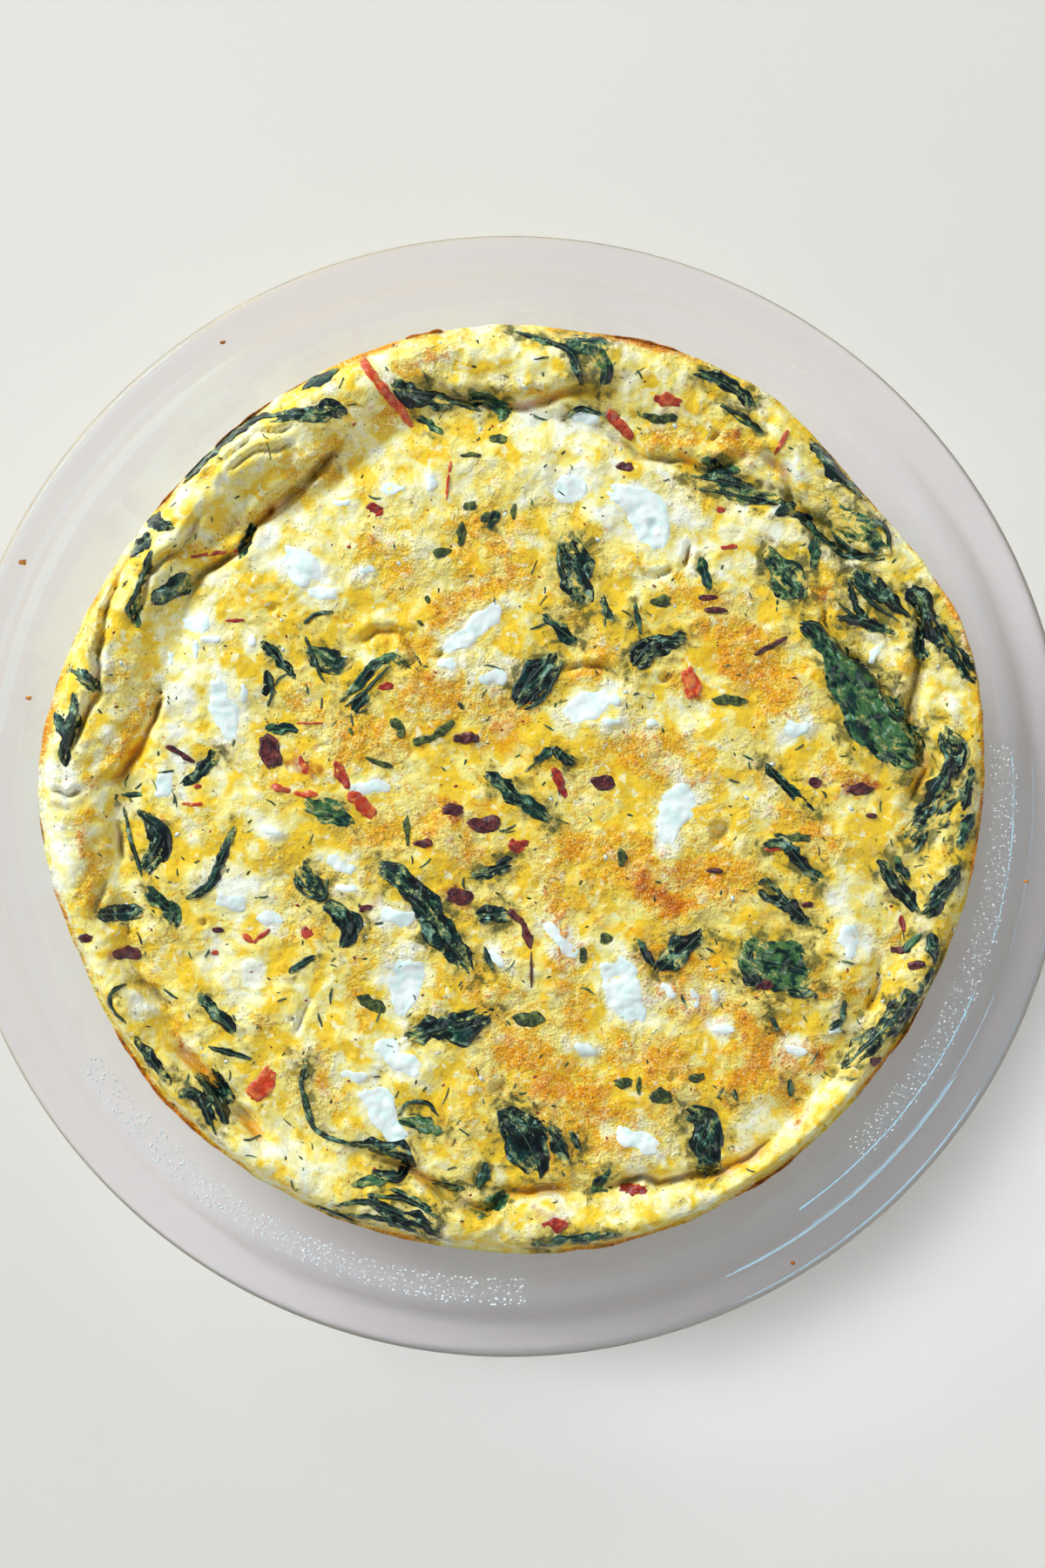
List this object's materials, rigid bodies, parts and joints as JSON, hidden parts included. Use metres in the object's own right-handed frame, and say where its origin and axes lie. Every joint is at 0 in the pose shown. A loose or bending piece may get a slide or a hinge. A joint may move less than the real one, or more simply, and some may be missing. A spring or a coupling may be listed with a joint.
{
  "type": "dish of quiche",
  "caption": "Whole baked spinach, soft cheese and dried tomato quiche with a puffed rim and no pastry, in a round clear glass pie dish with sloping walls and a flat rim.",
  "frame": {"origin": "middle of the dish's flat underside", "axes": "+Z up out of the dish; +X and +Y across it, +X to the right and +Y up in the picture's view from above"},
  "size_m": [0.24, 0.24, 0.036],
  "materials": {
    "glass": "clear, faintly grey, smooth",
    "egg": "baked egg, creamy yellow browned to gold, moist",
    "spinach": "cooked leaf, very dark green, wet",
    "cheese": "soft white curd, moist",
    "tomato": "dried tomato, dark red, oily"
  },
  "bodies": {
    "root": {"glass_dish": "glass", "egg_filling": "egg", "spinach_leaf_01": "spinach", "spinach_leaf_02": "spinach", "spinach_leaf_03": "spinach", "spinach_leaf_04": "spinach", "spinach_leaf_05": "spinach", "spinach_leaf_06": "spinach", "spinach_leaf_07": "spinach", "spinach_leaf_08": "spinach", "spinach_leaf_09": "spinach", "spinach_leaf_10": "spinach", "spinach_leaf_11": "spinach", "spinach_leaf_12": "spinach", "spinach_leaf_13": "spinach", "spinach_leaf_14": "spinach", "spinach_leaf_15": "spinach", "spinach_leaf_16": "spinach", "spinach_leaf_17": "spinach", "spinach_leaf_18": "spinach", "spinach_leaf_19": "spinach", "spinach_leaf_20": "spinach", "spinach_leaf_21": "spinach", "spinach_leaf_22": "spinach", "spinach_leaf_23": "spinach", "spinach_leaf_24": "spinach", "spinach_leaf_25": "spinach", "spinach_leaf_26": "spinach", "spinach_leaf_27": "spinach", "spinach_leaf_28": "spinach", "spinach_leaf_29": "spinach", "spinach_leaf_30": "spinach", "spinach_leaf_31": "spinach", "spinach_leaf_32": "spinach", "spinach_leaf_33": "spinach", "spinach_leaf_34": "spinach", "spinach_leaf_35": "spinach", "spinach_leaf_36": "spinach", "spinach_leaf_37": "spinach", "spinach_leaf_38": "spinach", "spinach_leaf_39": "spinach", "spinach_leaf_40": "spinach", "spinach_leaf_41": "spinach", "spinach_leaf_42": "spinach", "spinach_leaf_43": "spinach", "white_cheese_01": "cheese", "white_cheese_02": "cheese", "white_cheese_03": "cheese", "white_cheese_04": "cheese", "white_cheese_05": "cheese", "white_cheese_06": "cheese", "white_cheese_07": "cheese", "white_cheese_08": "cheese", "white_cheese_09": "cheese", "white_cheese_10": "cheese", "dried_tomato_01": "tomato", "dried_tomato_02": "tomato", "dried_tomato_03": "tomato", "dried_tomato_04": "tomato", "dried_tomato_05": "tomato"}
  },
  "joints": []
}
